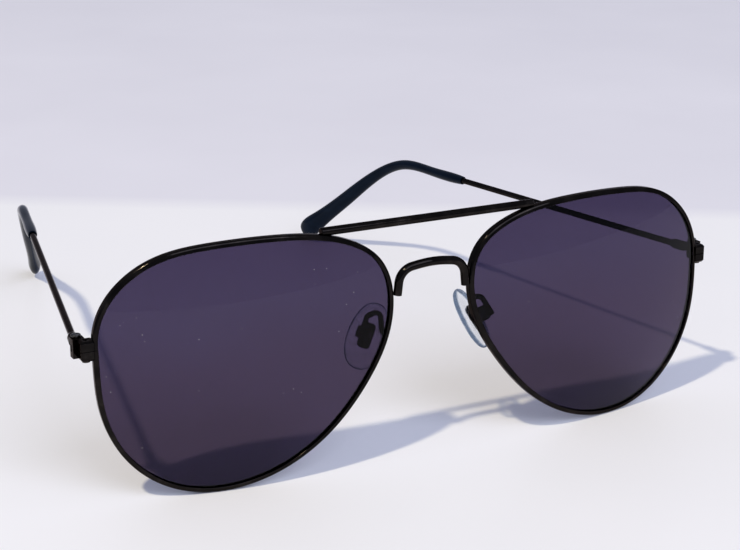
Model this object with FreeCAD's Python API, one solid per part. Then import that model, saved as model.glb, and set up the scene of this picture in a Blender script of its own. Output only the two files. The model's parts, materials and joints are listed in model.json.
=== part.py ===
import FreeCAD, Part
import math
import os

# Aviator sunglasses: a wire front with a brow bar and a bridge, two curved lenses,
# two folding wire temples with moulded ear tips, and two rocking nose pads.
# Millimetres. "left" and "right" are the wearer's, and left is +X.
# Every piece is first placed in the frame of the front, with +Y towards the ears
# and +Z up along the front. The last step leans the whole pair back on its rims and tips.

V = FreeCAD.Vector
UP = V(0, 0, 1)
BACK = V(0, 1, 0)

# Lenses and rims
LENS_OFFSET = 38.8          # middle of the nose to the centre of each lens
LENS_WRAP = 5.0             # turn of each lens about the vertical, degrees
FRONT_RADIUS = 106.0        # radius of the ball that lenses and rims lie on
LENS_THICKNESS = 0.9
RIM_WIDTH = 1.0             # rim wire as seen from the front
RIM_DEPTH = 1.65            # rim wire front to back
RIM_EDGE = 0.35             # rounding of the outer edges of the rim wire
RIM_LIP_EDGE = 0.12         # rounding of the inner edges of the rim wire
RIM_TILT = 0.265            # slope of the ball where the rims lie on it
GROOVE_WIDTH = 1.2
GROOVE_DEPTH = 0.4
GROOVE_PLAY = 0.05          # left round the edge of a lens in its groove
OUTLINE_SAMPLES = 36        # points carried from the flat outline to the ball
LOCK_GAP = 0.0002           # share of the outline left open on each side of the slot in the block

# Outer edge of the rim round its lens centre: x towards the temple, z up.
# It starts in the closing block and runs over the top to the nose.
OUTLINE = [
    (29.8, 6.4), (27.0, 15.5), (18.7, 22.2), (6.7, 24.6), (-6.7, 24.7),
    (-19.1, 22.6), (-28.2, 16.3), (-29.6, 4.7), (-24.3, -6.4), (-14.5, -17.2),
    (0.0, -24.3), (13.8, -23.9), (23.9, -16.9), (28.8, -6.8),
]

# Brow bar and bridge
BROW_HALF_LENGTH = 23.6
BROW_DIAMETER = 1.7
BROW_BACK = 2.8             # height and depth of the bar's centre line
BROW_HEIGHT = 24.1
BROW_CHAMFER = 0.15
BRIDGE_DIAMETER = 1.75
BRIDGE_FOOT = V(7.65, 1.6, 9.6)
BRIDGE_SHOULDER = V(7.1, 1.5, 14.7)
BRIDGE_CROWN = V(0, 1.2, 15.8)
BRIDGE_SHOULDER_RADIUS = 3.4
BRIDGE_CROWN_RADIUS = 20.0

# Closing block at the outer side of each rim, measured from the rim's outer edge
BLOCK_OVERLAP = 0.15
BLOCK_OUT = 2.3
BLOCK_FRONT = 1.1
BLOCK_BACK = 1.7
BLOCK_HEIGHT = 3.9
BLOCK_SPLIT = 0.12          # slot between the two halves of the block
BLOCK_EDGE = 0.5
BLOCK_CHAMFER = 0.4
LOCK_SCREW_RADIUS = 0.5
LOCK_HEAD_RADIUS = 0.8
LOCK_HEAD_HEIGHT = 0.35
FIT = 0.02                  # play round a screw in the piece it is screwed into

# Hinge
HINGE_OUT = 1.9             # hinge axis from the rim's outer edge
HINGE_BACK = 3.2
KNUCKLE_RADIUS = 1.15
KNUCKLE_GAP = 0.1
MIDDLE_KNUCKLE = 1.24       # height of the knuckle on the temple
HINGE_HEIGHT = 3.8          # all three knuckles together
HINGE_PLAY = 0.05           # running fit of the temple on the hinge screw
HINGE_SCREW_RADIUS = 0.6
HINGE_HEAD_RADIUS = 0.95
HINGE_HEAD_HEIGHT = 0.45
PLATE_FRONT = 1.6           # plate that carries both front knuckles
PLATE_BACK = 2.2
PLATE_CLEARANCE = 0.12
SCREW_SLOT_WIDTH = 0.3
SCREW_SLOT_DEPTH = 0.2

# Temple
TEMPLE_DIAMETER = 1.4
TEMPLE_CORNER = V(52.2, 108.0, 7.9)     # fully open: where the straight and ear runs would meet
TEMPLE_END = V(41.0, 138.4, -17.4)
TEMPLE_BEND_RADIUS = 22.0
TEMPLE_START = 2.9          # hinge axis to the end of the wire
TANG_SHORTER = 3.0          # the wire stops this far before the end of the tip
FERRULE_START = 2.2
FERRULE_LENGTH = 3.4
FERRULE_RADIUS = 1.1
FERRULE_MOUTH_RADIUS = 0.85
ARM_WIDTH = 1.5

# Ear tip sections: distance back from its end, height, thickness
TIP_SECTIONS = [
    (66.5, 2.0, 2.0), (65.5, 2.2, 2.2), (55.0, 2.3, 2.3), (44.0, 2.5, 2.4), (32.0, 3.0, 2.5),
    (20.0, 3.8, 2.7), (6.0, 5.1, 2.9), (1.6, 5.2, 2.8), (0.4, 4.2, 2.1), (0.0, 2.9, 1.2),
]
TIP_PLAY = 0.02
LEFT_TEMPLE_FOLD = 2.7      # the left temple stands this far in from fully open, degrees

# Nose pads
PAD_CENTRE = V(12.0, 6.3, 0.4)
PAD_FRONTAL = 34.0          # tops lean together
PAD_VERTICAL = 15.0         # tops lean back
PAD_SPLAY = 48.0            # back edges lean apart
PAD_HALF_HEIGHT = 6.9
PAD_HALF_WIDTH = 4.1
PAD_THICKNESS = 1.8
PAD_EDGE = 0.8
CORE_HALF_HEIGHT = 2.6
CORE_HALF_WIDTH = 1.3
CORE_SKIN = 0.2             # core plate, from the pad's middle towards the rim
CORE_RIM = 0.8
BOSS_HALF_WIDTH = 0.6
BOSS_RADIUS = 0.9
PAD_AXIS = 2.3              # rocking axis from the pad's middle
PAD_PLAY = 0.05
PAD_SCREW_RADIUS = 0.45
PAD_HEAD_RADIUS = 0.8
PAD_HEAD_HEIGHT = 0.35
BOX_INNER_WIDTH = 1.4
BOX_OUTER_WIDTH = 2.5
BOX_HEIGHT = 2.3
BOX_FRONT = 1.5
BOX_FLOOR = 3.4
BOX_BACK = 3.9
PAD_ARM_DIAMETER = 1.1
PAD_ARM_FOOT = V(10.1, 2.1, 1.5)
PAD_ARM_RISE = V(10.2, 3.5, 1.9)
PAD_ARM_TOP = V(10.4, 3.7, 6.1)
PAD_ARM_OVER = 3.4          # last bend and end of the arm, along the pad from its middle
PAD_ARM_END = -0.9
PAD_ARM_RADII = [0.8, 1.1, 1.1]

# Stance
LEAN = 2.3                  # the front leans back on the table, degrees


def rounded_path(points, radii):
    """Straight runs between the points, joined by tangent arcs."""
    edges = []
    start = points[0]
    for index, radius in enumerate(radii):
        corner = points[index + 1]
        back = (points[index] - corner).normalize()
        ahead = (points[index + 2] - corner).normalize()
        half_turn = (math.pi - back.getAngle(ahead)) / 2
        arc_start = corner + back * (radius * math.tan(half_turn))
        arc_end = corner + ahead * (radius * math.tan(half_turn))
        middle = corner + (back + ahead).normalize() * (radius / math.cos(half_turn) - radius)
        edges.append(Part.LineSegment(start, arc_start).toShape())
        edges.append(Part.Arc(arc_start, middle, arc_end).toShape())
        start = arc_end
    edges.append(Part.LineSegment(start, points[-1]).toShape())
    return Part.Wire(edges)


def largest(shape):
    """The main body of a cut, without its offcuts."""
    return max(shape.Solids, key=lambda solid: solid.Volume)


def bent_wire(path, diameter):
    """Round wire along a path."""
    first = path.Edges[0]
    tangent = first.tangentAt(first.FirstParameter)
    profile = Part.Wire(Part.makeCircle(diameter / 2, first.valueAt(first.FirstParameter), tangent))
    return path.makePipeShell([profile], True, True)


def slotted_screw(head_face, direction, shaft_radius, shaft_length, head_radius, head_height):
    """Screw whose shaft runs along direction from the underside of its head."""
    shaft = Part.makeCylinder(shaft_radius, shaft_length, head_face, direction)
    head = Part.makeCylinder(head_radius, head_height, head_face, direction * -1)
    rim_edges = [edge for edge in head.Edges
                 if edge.Closed and (edge.CenterOfMass - head_face).Length > head_height / 2]
    head = head.makeFillet(head_height * 0.4, rim_edges)
    slot = Part.makeBox(3 * head_radius, SCREW_SLOT_WIDTH, SCREW_SLOT_DEPTH)
    slot.translate(V(-1.5 * head_radius, -SCREW_SLOT_WIDTH / 2, head_height - SCREW_SLOT_DEPTH))
    slot.Placement = FreeCAD.Placement(head_face, FreeCAD.Rotation(UP, direction * -1)) * slot.Placement
    return shaft.fuse(head).removeSplitter().cut(slot)


# ---- rims and lenses, in the frame of the left lens ----

def outline_curve():
    """Closed outer edge of the rim, flat."""
    curve = Part.BSplineCurve()
    curve.interpolate(Points=[V(x, 0, z) for x, z in OUTLINE], PeriodicFlag=True)
    return curve


def inset_points(inset, gap):
    """Points along the outline, moved in by inset, leaving a share of it open at the start."""
    curve = outline_curve()
    span = curve.LastParameter - curve.FirstParameter
    points = []
    for index in range(OUTLINE_SAMPLES + 1):
        share = gap + (1 - 2 * gap) * index / OUTLINE_SAMPLES
        parameter = curve.FirstParameter + span * share
        tangent = curve.tangent(parameter)[0]
        points.append(curve.value(parameter) + V(-tangent.z, 0, tangent.x) * inset)
    return points


def on_ball(point):
    """Carry a flat point back onto the ball of the front."""
    reach = point.x ** 2 + point.z ** 2
    return V(point.x, FRONT_RADIUS - math.sqrt(FRONT_RADIUS ** 2 - reach), point.z)


def place_lens(item):
    """Lens frame to the frame of the front, for a shape."""
    item.rotate(V(0, 0, 0), UP, LENS_WRAP)
    item.translate(V(LENS_OFFSET, 0, 0))
    return item


def lock_point():
    """The rim's outer edge in the middle of the closing block, in the frame of the front."""
    first = on_ball(V(OUTLINE[0][0], 0, OUTLINE[0][1]))
    return FreeCAD.Rotation(UP, LENS_WRAP).multVec(first) + V(LENS_OFFSET, 0, 0)


def rim_section(corner, inward):
    """Rim wire: rounded outside, with a groove for the lens inside."""
    half = RIM_DEPTH / 2
    slot = GROOVE_WIDTH / 2
    floor = RIM_WIDTH - GROOVE_DEPTH
    lip = RIM_LIP_EDGE
    cut = 1 - math.sqrt(0.5)

    def at(across, deep):
        return corner + inward * across + BACK * (deep - RIM_TILT * across)

    def line(first, second):
        return Part.LineSegment(at(*first), at(*second)).toShape()

    def arc(first, middle, last):
        return Part.Arc(at(*first), at(*middle), at(*last)).toShape()

    edges = [line((0, RIM_EDGE - half), (0, half - RIM_EDGE))]
    for side in (1, -1):
        near = side * half
        edges += [
            arc((0, near - side * RIM_EDGE), (RIM_EDGE * cut, near - side * RIM_EDGE * cut),
                (RIM_EDGE, near)),
            line((RIM_EDGE, near), (RIM_WIDTH - lip, near)),
            arc((RIM_WIDTH - lip, near), (RIM_WIDTH - lip * cut, near - side * lip * cut),
                (RIM_WIDTH, near - side * lip)),
            line((RIM_WIDTH, near - side * lip), (RIM_WIDTH, side * slot)),
            line((RIM_WIDTH, side * slot), (floor, side * slot)),
        ]
    edges.append(line((floor, slot), (floor, -slot)))
    return Part.Wire(Part.__sortEdges__(edges))


def make_rim():
    points = [on_ball(point) for point in inset_points(0, LOCK_GAP)]
    curve = Part.BSplineCurve()
    curve.interpolate(Points=points)
    spine = Part.Wire(curve.toShape())
    tangent = curve.tangent(curve.FirstParameter)[0]
    inward = V(-tangent.z, 0, tangent.x).normalize()
    pipe = Part.BRepOffsetAPI.MakePipeShell(spine)
    pipe.setBiNormalMode(BACK)
    pipe.add(rim_section(points[0], inward), False, False)
    pipe.build()
    pipe.makeSolid()
    return place_lens(pipe.shape())


def make_lens():
    inset = RIM_WIDTH - GROOVE_DEPTH + GROOVE_PLAY
    curve = Part.BSplineCurve()
    curve.interpolate(Points=inset_points(inset, 0)[:-1], PeriodicFlag=True)
    face = Part.Face(Part.Wire(curve.toShape()))
    face.translate(BACK * -LENS_THICKNESS)
    blank = face.extrude(BACK * (LENS_THICKNESS * 10))
    centre = BACK * FRONT_RADIUS
    outer = Part.makeSphere(FRONT_RADIUS + LENS_THICKNESS / 2, centre)
    inner = Part.makeSphere(FRONT_RADIUS - LENS_THICKNESS / 2, centre)
    return place_lens(blank.common(outer).cut(inner))


# ---- middle of the front ----

def make_brow_bar(rims):
    bar = Part.makeCylinder(BROW_DIAMETER / 2, 2 * BROW_HALF_LENGTH,
                            V(-BROW_HALF_LENGTH, BROW_BACK, BROW_HEIGHT), V(1, 0, 0))
    ends = [edge for edge in bar.Edges if edge.Closed]
    return largest(bar.makeChamfer(BROW_CHAMFER, ends).cut(rims))


def make_bridge(rims):
    mirrored = FreeCAD.Matrix()
    mirrored.A11 = -1
    points = [mirrored.multiply(BRIDGE_FOOT), mirrored.multiply(BRIDGE_SHOULDER), BRIDGE_CROWN,
              BRIDGE_SHOULDER, BRIDGE_FOOT]
    radii = [BRIDGE_SHOULDER_RADIUS, BRIDGE_CROWN_RADIUS, BRIDGE_SHOULDER_RADIUS]
    return largest(bent_wire(rounded_path(points, radii), BRIDGE_DIAMETER).cut(rims))


# ---- closing block and hinge, left side ----

def hinge_axis():
    return lock_point() + V(HINGE_OUT, HINGE_BACK, 0)


def lock_screw_axis():
    return lock_point() + V((BLOCK_OUT - BLOCK_OVERLAP) / 2, (BLOCK_BACK - BLOCK_FRONT) / 2, 0)


def block_half(side):
    """One half of the closing block: side is 1 above the slot and -1 below it."""
    height = (BLOCK_HEIGHT - BLOCK_SPLIT) / 2
    block = Part.makeBox(BLOCK_OVERLAP + BLOCK_OUT, BLOCK_FRONT + BLOCK_BACK, height)
    upright = [edge for edge in block.Edges
               if abs(edge.tangentAt(0).z) > 0.5 and edge.CenterOfMass.x > BLOCK_OUT / 2]
    block = block.makeFillet(BLOCK_EDGE, upright)
    far = height if side > 0 else 0
    outer = [edge for edge in block.Edges
             if abs(edge.CenterOfMass.z - far) < 0.01 and edge.CenterOfMass.x > BLOCK_OUT / 4]
    block = block.makeChamfer(BLOCK_CHAMFER, outer)
    lower = BLOCK_SPLIT / 2 if side > 0 else -BLOCK_HEIGHT / 2
    block.translate(lock_point() + V(-BLOCK_OVERLAP, -BLOCK_FRONT, lower))
    return block


def make_endpiece(rim):
    """Upper half of the closing block, with the two outer knuckles of the hinge."""
    axis = hinge_axis()
    lock = lock_point()
    half = HINGE_HEIGHT / 2
    inner = MIDDLE_KNUCKLE / 2 + KNUCKLE_GAP
    plate = Part.makeBox(2 * KNUCKLE_RADIUS, PLATE_BACK - PLATE_FRONT, HINGE_HEIGHT,
                         V(axis.x - KNUCKLE_RADIUS, lock.y + PLATE_FRONT, axis.z - half))
    pieces = [plate]
    for bottom in (axis.z + inner, axis.z - half):
        knuckle = Part.makeCylinder(KNUCKLE_RADIUS, half - inner, V(axis.x, axis.y, bottom))
        web = Part.makeBox(2 * KNUCKLE_RADIUS, axis.y - lock.y - PLATE_FRONT, half - inner,
                           V(axis.x - KNUCKLE_RADIUS, lock.y + PLATE_FRONT, bottom))
        pieces += [knuckle, web]
    room = Part.makeCylinder(KNUCKLE_RADIUS + PLATE_CLEARANCE, 2 * inner, axis - UP * inner)
    bore = Part.makeCylinder(HINGE_SCREW_RADIUS + FIT, HINGE_HEIGHT, axis - UP * half)
    screw = lock_screw_axis()
    lock_bore = Part.makeCylinder(LOCK_SCREW_RADIUS + FIT, BLOCK_HEIGHT / 2, screw)
    solid = block_half(1).multiFuse(pieces)
    return largest(solid.cut(room).cut(bore).cut(lock_bore).cut(rim).removeSplitter())


def make_rim_lock(rim):
    """Lower half of the closing block."""
    screw = lock_screw_axis()
    bore = Part.makeCylinder(LOCK_SCREW_RADIUS + FIT, BLOCK_HEIGHT, screw - UP * BLOCK_HEIGHT)
    lock = lock_point()
    behind = Part.makeBox(2 * BLOCK_OUT, BLOCK_BACK, BLOCK_HEIGHT,
                          lock + V(-BLOCK_OVERLAP, PLATE_FRONT - BLOCK_SPLIT, -BLOCK_HEIGHT))
    return largest(block_half(-1).cut(behind).cut(bore).cut(rim).removeSplitter())


def make_rim_lock_screw():
    under_head = lock_screw_axis() - UP * (BLOCK_HEIGHT / 2)
    return slotted_screw(under_head, UP, LOCK_SCREW_RADIUS, BLOCK_HEIGHT - LOCK_HEAD_HEIGHT,
                         LOCK_HEAD_RADIUS, LOCK_HEAD_HEIGHT)


def make_hinge_screw():
    under_head = hinge_axis() + UP * (HINGE_HEIGHT / 2)
    return slotted_screw(under_head, UP * -1, HINGE_SCREW_RADIUS, HINGE_HEIGHT,
                         HINGE_HEAD_RADIUS, HINGE_HEAD_HEIGHT)


# ---- temple, left side ----

def temple_direction():
    return (TEMPLE_CORNER - hinge_axis()).normalize()


def temple_path(start, end):
    return rounded_path([start, TEMPLE_CORNER, end], [TEMPLE_BEND_RADIUS])


def make_temple_hinge():
    """Middle knuckle of the hinge and the ferrule that holds the temple wire."""
    axis = hinge_axis()
    along = temple_direction()
    half = MIDDLE_KNUCKLE / 2
    knuckle = Part.makeCylinder(KNUCKLE_RADIUS, MIDDLE_KNUCKLE, axis - UP * half)
    arm = Part.makeBox(ARM_WIDTH, FERRULE_START + 1, MIDDLE_KNUCKLE, V(-ARM_WIDTH / 2, 0, -half))
    arm.rotate(V(0, 0, 0), UP, math.degrees(math.atan2(-along.x, along.y)))
    arm.translate(axis)
    sleeve = Part.makeCylinder(FERRULE_RADIUS, FERRULE_LENGTH - 1, axis + along * FERRULE_START, along)
    mouth = Part.makeCone(FERRULE_RADIUS, FERRULE_MOUTH_RADIUS, 1,
                          axis + along * (FERRULE_START + FERRULE_LENGTH - 1), along)
    socket = Part.makeCylinder(TEMPLE_DIAMETER / 2 + FIT, FERRULE_LENGTH,
                               axis + along * (TEMPLE_START - FIT), along)
    bore = Part.makeCylinder(HINGE_SCREW_RADIUS + HINGE_PLAY, 2 * MIDDLE_KNUCKLE,
                             axis - UP * MIDDLE_KNUCKLE)
    return knuckle.multiFuse([arm, sleeve, mouth]).cut(socket).cut(bore).removeSplitter()


def make_temple():
    along = (TEMPLE_END - TEMPLE_CORNER).normalize()
    path = temple_path(hinge_axis() + temple_direction() * TEMPLE_START, TEMPLE_END - along * TANG_SHORTER)
    return bent_wire(path, TEMPLE_DIAMETER)


def path_frame(path, distance):
    """Point and tangent at a distance back from the end of a path."""
    left = distance
    for edge in reversed(path.Edges):
        if left <= edge.Length or edge.isSame(path.Edges[0]):
            parameter = edge.getParameterByLength(edge.Length - left)
            return edge.valueAt(parameter), edge.tangentAt(parameter)
        left -= edge.Length


def tip_section(path, distance, height, thickness):
    """Oval across the path, standing upright."""
    point, tangent = path_frame(path, distance)
    across = tangent.cross(UP).normalize()
    upright = across.cross(tangent).normalize()
    oval = Part.Ellipse(V(0, 0, 0), height / 2, thickness / 2 - 0.001)
    edge = oval.toShape()
    edge.Placement = FreeCAD.Placement(point, FreeCAD.Rotation(upright, across, tangent * -1, "XZY"))
    return Part.Wire(edge)


def make_temple_tip():
    path = temple_path(hinge_axis(), TEMPLE_END)
    sections = [tip_section(path, *row) for row in TIP_SECTIONS]
    skin = Part.makeLoft(sections, True, False)
    along = (TEMPLE_END - TEMPLE_CORNER).normalize()
    core = temple_path(hinge_axis(), TEMPLE_END - along * (TANG_SHORTER - TIP_PLAY))
    return skin.cut(bent_wire(core, TEMPLE_DIAMETER + 2 * TIP_PLAY))


# ---- nose pad, left side: its own frame has x across, y towards the skin and z up the pad ----

def pad_placement():
    height = V(-math.sin(math.radians(PAD_FRONTAL)), math.sin(math.radians(PAD_VERTICAL)), 1).normalize()
    across = V(math.sin(math.radians(PAD_SPLAY)), math.cos(math.radians(PAD_SPLAY)), 0)
    across = (across - height * across.dot(height)).normalize()
    return FreeCAD.Placement(PAD_CENTRE, FreeCAD.Rotation(across, height.cross(across), height, "XZY"))


def place_pad(shape):
    shape.Placement = pad_placement() * shape.Placement
    return shape


def across_cylinder(radius, half_length):
    """Cylinder on the rocking axis."""
    return Part.makeCylinder(radius, 2 * half_length, V(-half_length, -PAD_AXIS, 0), V(1, 0, 0))


def pad_core_solid():
    plate = Part.makeBox(2 * CORE_HALF_WIDTH, CORE_RIM - CORE_SKIN, 2 * CORE_HALF_HEIGHT,
                         V(-CORE_HALF_WIDTH, -CORE_RIM, -CORE_HALF_HEIGHT))
    corners = [edge for edge in plate.Edges if abs(edge.tangentAt(0).y) > 0.5]
    plate = plate.makeFillet(CORE_HALF_WIDTH * 0.6, corners)
    neck = Part.makeBox(2 * BOSS_HALF_WIDTH, PAD_AXIS - CORE_SKIN, 2 * BOSS_RADIUS,
                        V(-BOSS_HALF_WIDTH, -PAD_AXIS, -BOSS_RADIUS))
    return plate.multiFuse([neck, across_cylinder(BOSS_RADIUS, BOSS_HALF_WIDTH)]).removeSplitter()


def make_pad_core():
    bore = across_cylinder(PAD_SCREW_RADIUS + PAD_PLAY, BOSS_HALF_WIDTH)
    return place_pad(pad_core_solid().cut(bore))


def make_nose_pad():
    oval = Part.Ellipse(V(0, 0, 0), PAD_HALF_HEIGHT, PAD_HALF_WIDTH).toShape()
    back_face = V(0, -PAD_THICKNESS / 2, 0)
    oval.Placement = FreeCAD.Placement(back_face, FreeCAD.Rotation(UP, V(1, 0, 0), BACK, "XZY"))
    body = Part.Face(Part.Wire(oval)).extrude(BACK * PAD_THICKNESS)
    body = body.makeFillet(PAD_EDGE, [edge for edge in body.Edges if edge.Closed])
    return place_pad(body.cut(pad_core_solid()))


def make_pad_box():
    half = BOX_OUTER_WIDTH / 2
    box = Part.makeBox(2 * half, BOX_BACK - BOX_FRONT, BOX_HEIGHT,
                       V(-half, -BOX_BACK, -BOX_HEIGHT / 2))
    slot = Part.makeBox(BOX_INNER_WIDTH, BOX_FLOOR, 2 * BOX_HEIGHT,
                        V(-BOX_INNER_WIDTH / 2, -BOX_FLOOR, -BOX_HEIGHT))
    return place_pad(box.cut(slot).cut(across_cylinder(PAD_SCREW_RADIUS + FIT, half)))


def make_pad_screw():
    half = BOX_OUTER_WIDTH / 2
    return place_pad(slotted_screw(V(half, -PAD_AXIS, 0), V(-1, 0, 0), PAD_SCREW_RADIUS, 2 * half,
                                   PAD_HEAD_RADIUS, PAD_HEAD_HEIGHT))


def make_pad_arm(rim, box):
    place = pad_placement()
    behind = -(BOX_BACK + PAD_ARM_DIAMETER / 2 - FIT)
    points = [PAD_ARM_FOOT, PAD_ARM_RISE, PAD_ARM_TOP,
              place.multVec(V(0, behind, PAD_ARM_OVER)), place.multVec(V(0, behind, PAD_ARM_END))]
    return largest(bent_wire(rounded_path(points, PAD_ARM_RADII), PAD_ARM_DIAMETER).cut(rim).cut(box))


# ---- assembly ----

def left_pieces():
    rim = make_rim()
    box = make_pad_box()
    return {
        "rim": rim,
        "lens": make_lens(),
        "endpiece": make_endpiece(rim),
        "rim_lock": make_rim_lock(rim),
        "rim_lock_screw": make_rim_lock_screw(),
        "hinge_screw": make_hinge_screw(),
        "temple_hinge": make_temple_hinge(),
        "temple": make_temple(),
        "temple_tip": make_temple_tip(),
        "pad_arm": make_pad_arm(rim, box),
        "pad_box": box,
        "pad_screw": make_pad_screw(),
        "pad_core": make_pad_core(),
        "nose_pad": make_nose_pad(),
    }


def all_pieces():
    pieces = {}
    for name, shape in left_pieces().items():
        pieces[name + "_left"] = shape
        pieces[name + "_right"] = shape.mirror(V(0, 0, 0), V(1, 0, 0))
    for name in ("temple_hinge_left", "temple_left", "temple_tip_left"):
        pieces[name].rotate(hinge_axis(), UP, LEFT_TEMPLE_FOLD)
    rims = pieces["rim_left"].fuse(pieces["rim_right"])
    pieces["brow_bar"] = make_brow_bar(rims)
    pieces["bridge"] = make_bridge(rims)
    return pieces


def stand(pieces):
    """Lean the pair back and put the middle of its underside at the origin."""
    for shape in pieces.values():
        shape.rotate(V(0, 0, 0), V(1, 0, 0), -LEAN)
    box = FreeCAD.BoundBox()
    for shape in pieces.values():
        box.add(shape.optimalBoundingBox(False))
    offset = V(-box.Center.x, -box.Center.y, -box.ZMin)
    for shape in pieces.values():
        shape.translate(offset)
    return offset


def main():
    os.makedirs("parts", exist_ok=True)
    pieces = all_pieces()
    offset = stand(pieces)
    for name, shape in sorted(pieces.items()):
        print(f"{name}: {len(shape.Solids)} solid, {shape.Volume:.2f} mm3, valid {shape.isValid()}")
        shape.exportStep(f"parts/{name}.step")
    print("moved by", offset)


main()
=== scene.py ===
import json
import math

import bmesh
import bpy
from mathutils import Matrix, Vector


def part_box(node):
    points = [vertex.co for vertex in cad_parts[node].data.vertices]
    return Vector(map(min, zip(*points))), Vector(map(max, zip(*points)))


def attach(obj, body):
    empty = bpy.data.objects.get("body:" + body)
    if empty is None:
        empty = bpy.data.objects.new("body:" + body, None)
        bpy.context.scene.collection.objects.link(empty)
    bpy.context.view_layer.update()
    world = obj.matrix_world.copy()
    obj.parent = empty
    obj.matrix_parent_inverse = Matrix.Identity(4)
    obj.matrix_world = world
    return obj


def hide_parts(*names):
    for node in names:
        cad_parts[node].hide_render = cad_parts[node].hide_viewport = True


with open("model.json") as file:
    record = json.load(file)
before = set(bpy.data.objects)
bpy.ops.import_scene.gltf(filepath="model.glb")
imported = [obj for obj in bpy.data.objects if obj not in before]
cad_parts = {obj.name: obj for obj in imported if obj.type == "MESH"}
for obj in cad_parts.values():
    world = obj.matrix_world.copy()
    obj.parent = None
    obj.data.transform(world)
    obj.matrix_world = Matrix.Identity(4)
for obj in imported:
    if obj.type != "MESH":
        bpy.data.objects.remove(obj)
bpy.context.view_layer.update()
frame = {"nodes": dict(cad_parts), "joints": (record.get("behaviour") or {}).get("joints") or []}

# Looks of the aviator sunglasses. Metres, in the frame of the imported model:
# +X is the wearer's left, +Y runs back to the ear tips, +Z is up.

SIDES = ("left", "right")

# Camera, from the place the pair is seen from
CAMERA_PLACE = (-0.1574, -0.3435, 0.1494)
CAMERA_TURN = (70.61, -1.08, -27.06)
CAMERA_LENS = 83.46

# Light: a small warm key lamp high on the wearer's right, a wide cool softbox in front, a dim sky
KEY_DIRECTION = (0.483, 0.244, -0.841)
KEY_DISTANCE = 4.0
KEY_SIZE = 0.20
KEY_POWER = 94.0
KEY_COLOR = (1.0, 0.89, 0.62)
FILL_PLACE = (0.6, -3.7, 3.4)
FILL_SIZE = 3.3
FILL_POWER = 122.0
FILL_COLOR = (0.81, 0.85, 1.0)
SKY_COLOR = (0.54, 0.57, 0.70)
SKY_POWER = 0.64

# Table: its far edge runs through two points, and the tone changes over a narrow strip there
TABLE_SIZE = 2.4
TABLE_EDGE = (Vector((-0.0287, 0.1361)), Vector((0.1604, 0.0383)))
TABLE_EDGE_BLUR = 0.006

# Depth of the fine relief in each surface, in metres
METAL_RELIEF = 0.000002
SOFT_RELIEF = 0.000006

# Black nickel plating: dark and light tone, and how much paler the worn spots are
NICKEL_TINT = (0.50, 0.47, 0.46, 1)
NICKEL_DARK = (0.005, 0.004, 0.004)
NICKEL_LIGHT = (0.011, 0.009, 0.008)
NICKEL_WEAR = 2.5
NICKEL_EDGE_RADIUS = 0.00014
PAD_METAL_DARK = (0.004, 0.004, 0.005)
PAD_METAL_LIGHT = (0.010, 0.009, 0.010)

# Lathe rings on the screw heads, in radians of phase per metre
SCREW_RINGS = 60000

# Lens: tint from the bottom (0) to the top (1); the purple-grey is the lens's own colour, and its turn
# to blue towards the top is painted sky reflection
LENS_TINTS_WITH_PAINTED_SKY_REFLECTION = [(0.0, (0.066, 0.048, 0.092)), (0.5, (0.070, 0.051, 0.098)),
              (0.75, (0.072, 0.056, 0.112)), (1.0, (0.066, 0.050, 0.106))]
LENS_IOR = 1.12
LENS_COAT_IOR = 1.2
DUST_COLOR = (0.62, 0.60, 0.58, 1)

# Clear pad: colour of light through it, from the middle (0) to the thick edge (1); the dark blue-grey
# at the edge is painted shade standing in for the dark outline that refraction gives there
PAD_TINTS_WITH_PAINTED_EDGE_SHADE = [(0.0, (0.96, 0.97, 0.985)), (0.35, (0.86, 0.90, 0.95)), (1.0, (0.10, 0.16, 0.26))]
PAD_EDGE_SHADE_START = 0.94
PAD_EDGE_SHADE_END = 0.99
# Section from the middle of the back, round the edge, to the middle of the face:
# share of the outline, and height in half thicknesses
PAD_SECTION = [(0, -0.46), (0.30, -0.47), (0.62, -0.56), (0.76, -0.72), (0.84, -0.80), (0.92, -0.66),
               (0.98, -0.32), (1.0, 0.0), (0.985, 0.40), (0.92, 0.70), (0.78, 0.86), (0.5, 0.96),
               (0.2, 1.0), (0, 1.0)]
# Outline of the pad: a full oval, a little narrower at the top
PAD_WIDTH_POWER = 0.88
PAD_HEIGHT_POWER = 0.94
PAD_TAPER = 0.07


# ---- node helpers ----

def new_material(name):
    """A material with one Principled shader on its output."""
    material = bpy.data.materials.new(name)
    material.use_nodes = True
    nodes = material.node_tree.nodes
    nodes.clear()
    output = nodes.new("ShaderNodeOutputMaterial")
    shader = nodes.new("ShaderNodeBsdfPrincipled")
    material.node_tree.links.new(shader.outputs["BSDF"], output.inputs["Surface"])
    return material, shader


def add(material, kind, inputs=None, **settings):
    """A new node, with its settings and the values of its inputs."""
    node = material.node_tree.nodes.new(kind)
    for key, value in settings.items():
        setattr(node, key, value)
    for key, value in (inputs or {}).items():
        node.inputs[key].default_value = value
    return node


def link(material, source, target):
    material.node_tree.links.new(source, target)


def place(material, scale=(1, 1, 1), turn=(0, 0, 0)):
    """The surface's place in the model's frame, turned and stretched."""
    coordinates = add(material, "ShaderNodeTexCoord")
    mapping = add(material, "ShaderNodeMapping", {"Scale": scale, "Rotation": turn})
    link(material, coordinates.outputs["Object"], mapping.inputs["Vector"])
    return mapping.outputs["Vector"]


def noise(material, vector, scale, detail=4.0):
    """Cloudy noise, from 0 to 1."""
    node = add(material, "ShaderNodeTexNoise", {"Scale": scale, "Detail": detail, "Roughness": 0.55})
    link(material, vector, node.inputs["Vector"])
    return node.outputs["Fac"]


def spread(material, value, low, high, start=0.35, end=0.65):
    """Carry a value from start..end to low..high."""
    node = add(material, "ShaderNodeMapRange",
               {"From Min": start, "From Max": end, "To Min": low, "To Max": high})
    link(material, value, node.inputs["Value"])
    return node.outputs["Result"]


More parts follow.
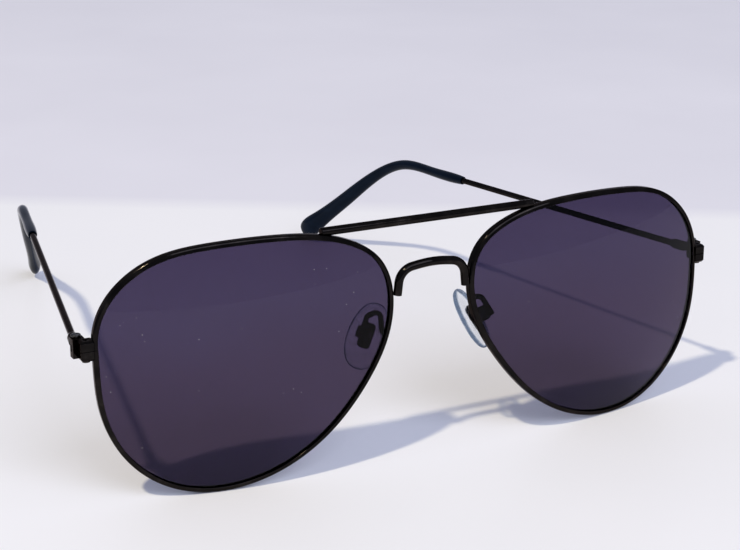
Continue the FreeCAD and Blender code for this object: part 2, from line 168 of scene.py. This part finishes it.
def ramp(material, value, stops):
    """Carry a value to a colour through stops of (place, colour)."""
    node = add(material, "ShaderNodeValToRGB")
    elements = node.color_ramp.elements
    while len(elements) < len(stops):
        elements.new(0.5)
    for element, (where, color) in zip(elements, stops):
        element.position = where
        element.color = (*color, 1)
    link(material, value, node.inputs["Fac"])
    return node.outputs["Color"]


def combine(material, operation, first, second):
    """Arithmetic on two values, each a number or another node's output."""
    node = add(material, "ShaderNodeMath", operation=operation)
    for slot, value in zip(node.inputs, (first, second)):
        if isinstance(value, (int, float)):
            slot.default_value = value
        else:
            link(material, value, slot)
    return node.outputs["Value"]


def bump(material, shader, height, distance, strength, under=None):
    """Fine relief on a shader's surface, over the normal given as under."""
    node = add(material, "ShaderNodeBump", {"Strength": strength, "Distance": distance})
    link(material, height, node.inputs["Height"])
    if under is not None:
        link(material, under, node.inputs["Normal"])
    link(material, node.outputs["Normal"], shader.inputs["Normal"])


# ---- materials ----

def plated_metal(name, dark, light, low=0.05, high=0.13):
    """Black nickel plating: cloudy polish of low..high roughness, fine hairlines and soft edges."""
    material, shader = new_material(name)
    shader.inputs["Metallic"].default_value = 1.0
    shader.inputs["Specular Tint"].default_value = NICKEL_TINT
    shader.inputs["Coat Weight"].default_value = 0.10
    shader.inputs["Coat Roughness"].default_value = 0.04
    clouds = noise(material, place(material), scale=240)
    grain = noise(material, place(material), scale=1500, detail=3.0)
    strokes = place(material, scale=(0.4, 0.4, 4.0), turn=(0.5, 0.3, 0.2))
    hairlines = noise(material, strokes, scale=1900, detail=3.0)
    tone = combine(material, "ADD", combine(material, "MULTIPLY", clouds, 0.8),
                   combine(material, "MULTIPLY", grain, 0.2))
    worn = tuple(NICKEL_WEAR * channel for channel in light)
    color = ramp(material, tone, [(0.36, dark), (0.56, light), (0.72, worn)])
    link(material, color, shader.inputs["Base Color"])
    polish = spread(material, clouds, low, high)
    scratched = spread(material, hairlines, 0, 0.08, start=0.58, end=0.74)
    rough = combine(material, "ADD", polish, scratched)
    link(material, rough, shader.inputs["Roughness"])
    edges = add(material, "ShaderNodeBevel", {"Radius": NICKEL_EDGE_RADIUS}, samples=6)
    bump(material, shader, hairlines, METAL_RELIEF, strength=0.2, under=edges.outputs["Normal"])
    return material


def turned_metal(name, axis_point):
    """Screw steel, turned on a lathe: fine rings round the head's middle."""
    material, shader = new_material(name)
    shader.inputs["Metallic"].default_value = 1.0
    coordinates = add(material, "ShaderNodeTexCoord")
    away = add(material, "ShaderNodeVectorMath", operation="DISTANCE")
    away.inputs[1].default_value = axis_point
    link(material, coordinates.outputs["Object"], away.inputs[0])
    phase = combine(material, "MULTIPLY", away.outputs["Value"], SCREW_RINGS)
    rings = combine(material, "SINE", phase, 0)
    specks = noise(material, place(material), scale=2400, detail=3.0)
    color = ramp(material, specks, [(0.3, (0.03, 0.03, 0.032)), (0.7, (0.10, 0.095, 0.09))])
    link(material, color, shader.inputs["Base Color"])
    link(material, spread(material, specks, 0.18, 0.34), shader.inputs["Roughness"])
    bump(material, shader, rings, METAL_RELIEF, strength=0.4)
    return material


def smoke_lens(name, box):
    """Purple-grey tinted plastic, polished, with smears and a few dust specks; its tint turns bluer
    towards the top as painted sky reflection.

    The indices are below those of real plastic, as the photo shows hardly any reflection.
    """
    material, shader = new_material(name)
    shader.inputs["Transmission Weight"].default_value = 1.0
    shader.inputs["IOR"].default_value = LENS_IOR
    shader.inputs["Roughness"].default_value = 0.0
    shader.inputs["Coat Weight"].default_value = 0.5
    shader.inputs["Coat IOR"].default_value = LENS_COAT_IOR
    lowest, highest = box
    coordinates = add(material, "ShaderNodeTexCoord")
    split = add(material, "ShaderNodeSeparateXYZ")
    link(material, coordinates.outputs["Object"], split.inputs["Vector"])
    # Painted sky reflection: the tint is taken from a ramp by height, bluer towards the top
    height = spread(material, split.outputs["Z"], 0, 1, lowest.z, highest.z)
    clouds = noise(material, place(material), scale=45, detail=2.0)
    level = combine(material, "ADD", height, spread(material, clouds, -0.06, 0.06))
    link(material, ramp(material, level, LENS_TINTS_WITH_PAINTED_SKY_REFLECTION), shader.inputs["Base Color"])
    wiped = place(material, scale=(0.5, 1, 2.4), turn=(0, 0.6, 0))
    smears = noise(material, wiped, scale=130, detail=5.0)
    dullness = spread(material, smears, 0.02, 0.30, start=0.50, end=0.75)
    link(material, dullness, shader.inputs["Coat Roughness"])
    output = material.node_tree.nodes["Material Output"]
    dust = add(material, "ShaderNodeBsdfDiffuse", {"Color": DUST_COLOR, "Roughness": 0.6})
    cells = add(material, "ShaderNodeTexVoronoi", {"Scale": 640.0, "Randomness": 1.0})
    link(material, place(material), cells.inputs["Vector"])
    specks = spread(material, cells.outputs["Distance"], 1, 0, start=0.03, end=0.07)
    where = noise(material, place(material), scale=70, detail=2.0)
    patches = spread(material, where, 0, 0.5, start=0.56, end=0.64)
    mix = add(material, "ShaderNodeMixShader")
    link(material, combine(material, "MULTIPLY", specks, patches), mix.inputs["Fac"])
    link(material, shader.outputs["BSDF"], mix.inputs[1])
    link(material, dust.outputs["BSDF"], mix.inputs[2])
    link(material, mix.outputs["Shader"], output.inputs["Surface"])
    return material


def ear_tip_plastic():
    """Polished black plastic with a blue cast, faint flow marks and handling scuffs."""
    material, shader = new_material("black_tip_plastic")
    shader.inputs["IOR"].default_value = 1.45
    shader.inputs["Specular IOR Level"].default_value = 0.12
    shader.inputs["Specular Tint"].default_value = (0.42, 0.58, 0.85, 1)
    flow = noise(material, place(material, scale=(3, 0.5, 3)), scale=160, detail=3.0)
    rubbed = place(material, scale=(1, 1, 5), turn=(0.7, 0, 0.3))
    scuffs = noise(material, rubbed, scale=1400)
    color = ramp(material, flow, [(0.3, (0.0012, 0.003, 0.008)), (0.7, (0.0025, 0.006, 0.015))])
    link(material, color, shader.inputs["Base Color"])
    rough = combine(material, "ADD", spread(material, flow, 0.07, 0.13),
                    spread(material, scuffs, 0, 0.14, start=0.56, end=0.75))
    link(material, rough, shader.inputs["Roughness"])
    peel = noise(material, place(material), scale=900, detail=2.0)
    bump(material, shader, peel, SOFT_RELIEF, strength=0.2)
    return material


def clear_silicone():
    """Clear soft pad: see-through, with painted shade in blue-grey round its thick edge in place of the
    refraction outline, and fine wrinkles.
    """
    material, shader = new_material("clear_silicone")
    shader.inputs["Transmission Weight"].default_value = 0.9
    shader.inputs["IOR"].default_value = 1.41
    clouds = noise(material, place(material), scale=420, detail=3.0)
    color = ramp(material, clouds, [(0.35, (0.30, 0.38, 0.50)), (0.65, (0.42, 0.50, 0.62))])
    link(material, color, shader.inputs["Base Color"])
    link(material, spread(material, clouds, 0.03, 0.12), shader.inputs["Roughness"])
    wrinkles = noise(material, place(material), scale=1700, detail=3.0)
    bump(material, shader, wrinkles, SOFT_RELIEF, strength=0.25)
    clear = add(material, "ShaderNodeBsdfTransparent")
    share = add(material, "ShaderNodeAttribute", attribute_name="share").outputs["Fac"]
    uneven = combine(material, "ADD", share, spread(material, clouds, -0.01, 0.01))
    # Painted shade: the edge mask darkens the see-through colour round the pad's thick rim
    edge = spread(material, uneven, 0, 1, start=PAD_EDGE_SHADE_START, end=PAD_EDGE_SHADE_END)
    link(material, ramp(material, edge, PAD_TINTS_WITH_PAINTED_EDGE_SHADE), clear.inputs["Color"])
    facing = add(material, "ShaderNodeLayerWeight", {"Blend": 0.35})
    glass = spread(material, facing.outputs["Facing"], 0.04, 0.35, start=0.30, end=0.95)
    mix = add(material, "ShaderNodeMixShader")
    link(material, combine(material, "ADD", glass, combine(material, "MULTIPLY", edge, 0.15)),
         mix.inputs["Fac"])
    link(material, clear.outputs["BSDF"], mix.inputs[1])
    link(material, shader.outputs["BSDF"], mix.inputs[2])
    link(material, mix.outputs["Shader"], material.node_tree.nodes["Material Output"].inputs["Surface"])
    return material


def table_top():
    """Smooth pale table, white where the pair stands and lavender-grey beyond its far edge."""
    material, shader = new_material("table_top")
    shader.inputs["Roughness"].default_value = 0.42
    shader.inputs["Specular IOR Level"].default_value = 0.35
    coordinates = add(material, "ShaderNodeTexCoord")
    along = (TABLE_EDGE[1] - TABLE_EDGE[0]).normalized()
    outward = Vector((-along.y, along.x, 0))
    beyond = add(material, "ShaderNodeVectorMath", operation="DOT_PRODUCT")
    beyond.inputs[1].default_value = outward
    link(material, coordinates.outputs["Object"], beyond.inputs[0])
    edge = outward.xy.dot(TABLE_EDGE[0])
    far = spread(material, beyond.outputs["Value"], 0, 1,
                 start=edge - TABLE_EDGE_BLUR, end=edge + TABLE_EDGE_BLUR)
    mottle = noise(material, place(material), scale=9, detail=3.0)
    white = ramp(material, mottle, [(0.3, (0.83, 0.84, 0.90)), (0.7, (0.86, 0.865, 0.925))])
    mix = add(material, "ShaderNodeMix", data_type="RGBA")
    link(material, far, mix.inputs["Factor"])
    link(material, white, mix.inputs["A"])
    grey = ramp(material, mottle, [(0.3, (0.71, 0.71, 0.81)), (0.7, (0.75, 0.75, 0.85))])
    link(material, grey, mix.inputs["B"])
    link(material, mix.outputs["Result"], shader.inputs["Base Color"])
    return material


# ---- shapes ----

def new_piece(name, mesh_data, material, body):
    """A piece added to the pair, riding on one of its bodies."""
    piece = bpy.data.objects.new(name, mesh_data)
    bpy.context.scene.collection.objects.link(piece)
    piece.data.materials.append(material)
    piece.data.shade_smooth()
    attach(piece, body)
    return piece


def turned_skin(name, profile, outline, matrix, segments=72):
    """Closed skin: each profile row (share of the outline, height) is one ring."""
    mesh = bpy.data.meshes.new(name)
    shape = bmesh.new()
    shares = shape.verts.layers.float.new("share")
    rings = []
    for share, height in profile:
        ring = []
        for step in range(segments if share else 1):
            x, z = outline(2 * math.pi * step / segments)
            vertex = shape.verts.new(matrix @ Vector((x * share, height, z * share)))
            vertex[shares] = share
            ring.append(vertex)
        rings.append(ring)
    for first, second in zip(rings, rings[1:]):
        for step in range(segments):
            after = (step + 1) % segments
            corners = [first[step % len(first)], first[after % len(first)],
                       second[after % len(second)], second[step % len(second)]]
            shape.faces.new(list(dict.fromkeys(corners)))
    bmesh.ops.recalc_face_normals(shape, faces=shape.faces)
    shape.to_mesh(mesh)
    shape.free()
    return mesh


def pad_frame(side):
    """Pad's own frame from its rocking joint: x across, y towards the skin, z up the pad."""
    joint = next(j for j in frame["joints"] if j["name"] == side + "_pad_rock")
    axis_point = Vector(joint["pos_m"])
    across = Vector(joint["axis"]).normalized()
    points = [v.co for v in frame["nodes"]["nose_pad_" + side].data.vertices]
    middle = sum(points, Vector()) / len(points)
    skin = middle - axis_point
    skin = (skin - across * skin.dot(across)).normalized()
    up = across.cross(skin).normalized()
    if up.z < 0:
        across = -across
        up = -up
    lows = [min((p - axis_point).dot(a) for p in points) for a in (across, skin, up)]
    highs = [max((p - axis_point).dot(a) for p in points) for a in (across, skin, up)]
    centre = axis_point
    for axis, low, high in zip((across, skin, up), lows, highs):
        centre = centre + axis * (low + high) / 2
    size = [high - low for low, high in zip(lows, highs)]
    matrix = Matrix((across, skin, up)).transposed().to_4x4()
    matrix.translation = centre
    return matrix, size


def nose_pad(side, material):
    """Soft pad: crowned face, rolled edge, and a shallow dished back round its boss."""
    matrix, (width, thickness, height) = pad_frame(side)

    def outline(angle):
        c, s = math.cos(angle), math.sin(angle)
        x = math.copysign(abs(c) ** PAD_WIDTH_POWER, c) * width / 2 * (1 - PAD_TAPER * s)
        z = math.copysign(abs(s) ** PAD_HEIGHT_POWER, s) * height / 2
        return x, z

    rows = [(share, level * (thickness / 2)) for share, level in PAD_SECTION]
    mesh = turned_skin("clear_pad_" + side, rows, outline, matrix)
    pad = new_piece("clear_pad_" + side, mesh, material, side + "_pad")
    smooth = pad.modifiers.new("smooth", "SUBSURF")
    smooth.levels = 1
    smooth.render_levels = 1
    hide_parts("nose_pad_" + side)


# ---- the pieces ----

def finish_node(name, material):
    node = frame["nodes"][name]
    node.data.materials.clear()
    node.data.materials.append(material)
    node.data.shade_smooth()


def dress_frame():
    gunmetal = plated_metal("gunmetal_plating", NICKEL_DARK, NICKEL_LIGHT)
    pad_metal = plated_metal("pad_metal_plating", PAD_METAL_DARK, PAD_METAL_LIGHT, low=0.14, high=0.24)
    tip = ear_tip_plastic()
    for name in ("brow_bar", "bridge"):
        finish_node(name, gunmetal)
    for side in SIDES:
        for part in ("rim", "endpiece", "rim_lock", "temple_hinge", "temple", "pad_arm"):
            finish_node(f"{part}_{side}", gunmetal)
        for part in ("pad_box", "pad_core"):
            finish_node(f"{part}_{side}", pad_metal)
        for part in ("rim_lock_screw", "hinge_screw", "pad_screw"):
            node = f"{part}_{side}"
            low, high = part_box(node)
            finish_node(node, turned_metal(node + "_steel", (low + high) / 2))
        finish_node("lens_" + side, smoke_lens("smoke_lens_" + side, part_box("lens_" + side)))
        finish_node("temple_tip_" + side, tip)


def dress_pads():
    silicone = clear_silicone()
    for side in SIDES:
        nose_pad(side, silicone)


# ---- stage ----

def build_table():
    mesh = bpy.data.meshes.new("table")
    half = TABLE_SIZE / 2
    mesh.from_pydata([(-half, -half, 0), (half, -half, 0), (half, half, 0), (-half, half, 0)],
                     [], [(0, 1, 2, 3)])
    table = bpy.data.objects.new("table", mesh)
    bpy.context.scene.collection.objects.link(table)
    mesh.materials.append(table_top())


def area_lamp(name, shape, size, power, color, location, direction):
    """A lamp with an area, shining along a direction."""
    light = bpy.data.lights.new(name, "AREA")
    light.shape = shape
    light.size = size
    light.energy = power
    light.color = color
    lamp = bpy.data.objects.new(name, light)
    lamp.location = location
    lamp.rotation_euler = direction.to_track_quat("-Z", "Y").to_euler()
    bpy.context.scene.collection.objects.link(lamp)


def build_light():
    direction = Vector(KEY_DIRECTION).normalized()
    area_lamp("key", "DISK", KEY_SIZE, KEY_POWER, KEY_COLOR, -direction * KEY_DISTANCE, direction)
    area_lamp("fill", "SQUARE", FILL_SIZE, FILL_POWER, FILL_COLOR, FILL_PLACE, -Vector(FILL_PLACE))
    world = bpy.data.worlds.new("sky")
    world.use_nodes = True
    background = world.node_tree.nodes["Background"]
    background.inputs["Color"].default_value = (*SKY_COLOR, 1)
    background.inputs["Strength"].default_value = SKY_POWER
    bpy.context.scene.world = world


def build_camera():
    data = bpy.data.cameras.new("camera")
    data.sensor_width = 36.0
    data.sensor_fit = "HORIZONTAL"
    data.lens = CAMERA_LENS
    data.clip_start = 0.01
    camera = bpy.data.objects.new("camera", data)
    camera.location = CAMERA_PLACE
    camera.rotation_euler = [math.radians(turn) for turn in CAMERA_TURN]
    bpy.context.scene.collection.objects.link(camera)
    bpy.context.scene.camera = camera


dress_frame()
dress_pads()
build_table()
build_light()
build_camera()
bpy.context.scene.view_settings.view_transform = "Standard"
